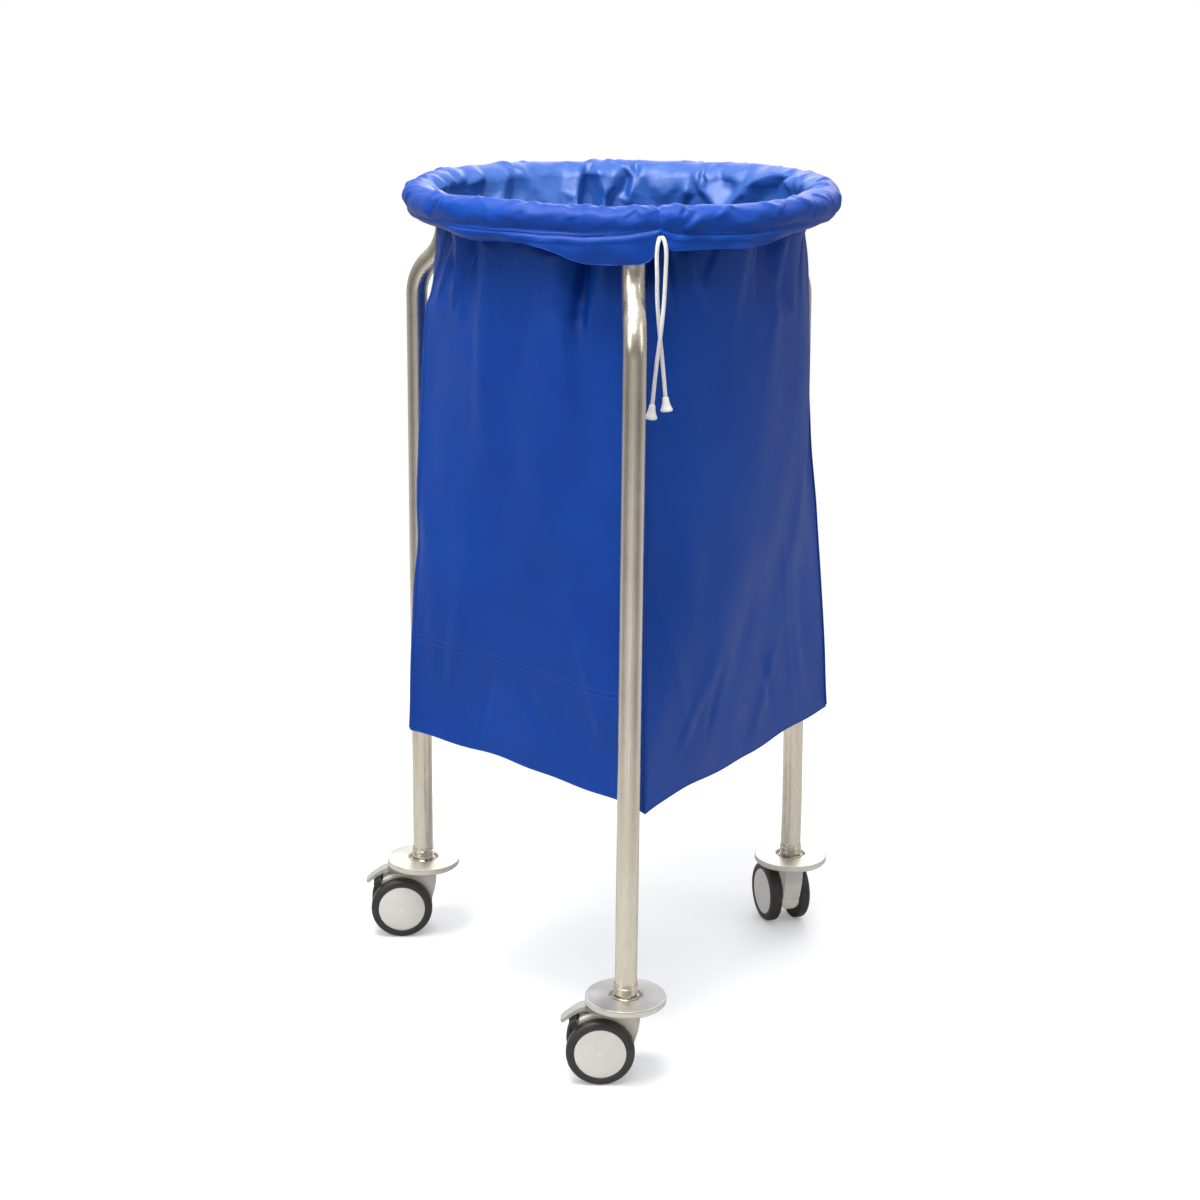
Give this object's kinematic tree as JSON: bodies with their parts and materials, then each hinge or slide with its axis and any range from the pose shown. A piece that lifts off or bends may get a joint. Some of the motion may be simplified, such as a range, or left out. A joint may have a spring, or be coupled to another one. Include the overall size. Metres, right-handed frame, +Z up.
{
  "type": "linen trolley",
  "caption": "Ward linen trolley: a cloth bag with a folded cuff and drawstring hung on a round steel hoop, on bent tube legs with guard discs and braked twin-wheel swivel casters.",
  "frame": {"origin": "on the floor under the centre of the hoop", "axes": "+Z up; the front leg stands on -Y, +X is the right-hand side seen from the front"},
  "size_m": [0.5932, 0.5774, 0.975],
  "materials": {
    "frame_tube": "satin brushed stainless tube",
    "guard_disc": "brushed stainless plate",
    "bright_steel": "bright turned steel",
    "zinc": "zinc plated steel",
    "caster_grey": "moulded light grey plastic",
    "cap_grey": "moulded light grey plastic",
    "pedal_grey": "silver grey moulded pedal",
    "brake_black": "black moulded plastic",
    "rim_black": "black moulded plastic",
    "tyre": "soft dark tread, satin",
    "bag_cloth": "coated royal blue cloth with a soft sheen",
    "white_cord": "white braided cord",
    "white_plastic": "white moulded plastic"
  },
  "bodies": {
    "frame": {"hoop": "frame_tube", "leg_inserts": "bright_steel", "bag_panel_front_right": "bag_cloth", "bag_panel_back_right": "bag_cloth", "bag_panel_back_left": "bag_cloth", "bag_panel_front_left": "bag_cloth", "bag_base": "bag_cloth", "bag_cuff": "bag_cloth", "bag_hem": "bag_cloth", "drawstring": "white_cord", "leg_front": "frame_tube", "guard_disc_front": "guard_disc", "caster_stem_front": "zinc", "leg_right": "frame_tube", "guard_disc_right": "guard_disc", "caster_stem_right": "zinc", "leg_left": "frame_tube", "guard_disc_left": "guard_disc", "caster_stem_left": "zinc"},
    "cord_tails": {"cord_tail_left": "white_cord", "cord_tail_right": "white_cord", "cord_end_left": "white_plastic", "cord_end_right": "white_plastic"},
    "swivel_front": {"caster_body_front": "caster_grey", "swivel_bearing_front": "zinc", "axle_front": "zinc", "pedal_pin_front": "zinc"},
    "wheel_a_front": {"tyre_a_front": "tyre", "rim_a_front": "rim_black", "wheel_cap_a_front": "cap_grey"},
    "wheel_b_front": {"tyre_b_front": "tyre", "rim_b_front": "rim_black", "wheel_cap_b_front": "cap_grey"},
    "pedal_front": {"brake_pedal_front": "pedal_grey", "brake_shoe_front": "brake_black"},
    "swivel_right": {"caster_body_right": "caster_grey", "swivel_bearing_right": "zinc", "axle_right": "zinc", "pedal_pin_right": "zinc"},
    "wheel_a_right": {"tyre_a_right": "tyre", "rim_a_right": "rim_black", "wheel_cap_a_right": "cap_grey"},
    "wheel_b_right": {"tyre_b_right": "tyre", "rim_b_right": "rim_black", "wheel_cap_b_right": "cap_grey"},
    "pedal_right": {"brake_pedal_right": "pedal_grey", "brake_shoe_right": "brake_black"},
    "swivel_left": {"caster_body_left": "caster_grey", "swivel_bearing_left": "zinc", "axle_left": "zinc", "pedal_pin_left": "zinc"},
    "wheel_a_left": {"tyre_a_left": "tyre", "rim_a_left": "rim_black", "wheel_cap_a_left": "cap_grey"},
    "wheel_b_left": {"tyre_b_left": "tyre", "rim_b_left": "rim_black", "wheel_cap_b_left": "cap_grey"},
    "pedal_left": {"brake_pedal_left": "pedal_grey", "brake_shoe_left": "brake_black"}
  },
  "joints": [
    {"name": "swivel_front_turn", "type": "hinge", "parent": "frame", "child": "swivel_front", "pos_m": [0, -0.2735, 0.09], "axis": [0, 0, 1], "continuous": true},
    {"name": "wheel_a_front_roll", "type": "hinge", "parent": "swivel_front", "child": "wheel_a_front", "pos_m": [-0.02796, -0.27204, 0.039], "axis": [0.0523, 0.9986, 0], "continuous": true},
    {"name": "wheel_b_front_roll", "type": "hinge", "parent": "swivel_front", "child": "wheel_b_front", "pos_m": [-0.02796, -0.27204, 0.039], "axis": [0.0523, 0.9986, 0], "continuous": true},
    {"name": "pedal_front_press", "type": "hinge", "parent": "swivel_front", "child": "pedal_front", "pos_m": [-0.03295, -0.27177, 0.084], "axis": [-0.0523, -0.9986, 0], "range_deg": [0, 3.4]},
    {"name": "swivel_right_turn", "type": "hinge", "parent": "frame", "child": "swivel_right", "pos_m": [0.23686, 0.13675, 0.09], "axis": [0, 0, 1], "continuous": true},
    {"name": "wheel_a_right_roll", "type": "hinge", "parent": "swivel_right", "child": "wheel_a_right", "pos_m": [0.22961, 0.1638, 0.039], "axis": [0.9659, 0.2588, 0], "continuous": true},
    {"name": "wheel_b_right_roll", "type": "hinge", "parent": "swivel_right", "child": "wheel_b_right", "pos_m": [0.22961, 0.1638, 0.039], "axis": [0.9659, 0.2588, 0], "continuous": true},
    {"name": "pedal_right_press", "type": "hinge", "parent": "swivel_right", "child": "pedal_right", "pos_m": [0.22832, 0.16863, 0.084], "axis": [-0.9659, -0.2588, 0], "range_deg": [0, 3.4]},
    {"name": "swivel_left_turn", "type": "hinge", "parent": "frame", "child": "swivel_left", "pos_m": [-0.23686, 0.13675, 0.09], "axis": [0, 0, 1], "continuous": true},
    {"name": "wheel_a_left_roll", "type": "hinge", "parent": "swivel_left", "child": "wheel_a_left", "pos_m": [-0.26485, 0.13626, 0.039], "axis": [-0.0175, 0.9998, 0], "continuous": true},
    {"name": "wheel_b_left_roll", "type": "hinge", "parent": "swivel_left", "child": "wheel_b_left", "pos_m": [-0.26485, 0.13626, 0.039], "axis": [-0.0175, 0.9998, 0], "continuous": true},
    {"name": "pedal_left_press", "type": "hinge", "parent": "swivel_left", "child": "pedal_left", "pos_m": [-0.26985, 0.13617, 0.084], "axis": [0.0175, -0.9998, 0], "range_deg": [0, 3.4]},
    {"name": "cord_tails_swing", "type": "hinge", "parent": "frame", "child": "cord_tails", "pos_m": [0.03276, -0.2488, 0.941], "axis": [0.9914, 0.1305, 0], "range_deg": [-30, 4]}
  ]
}
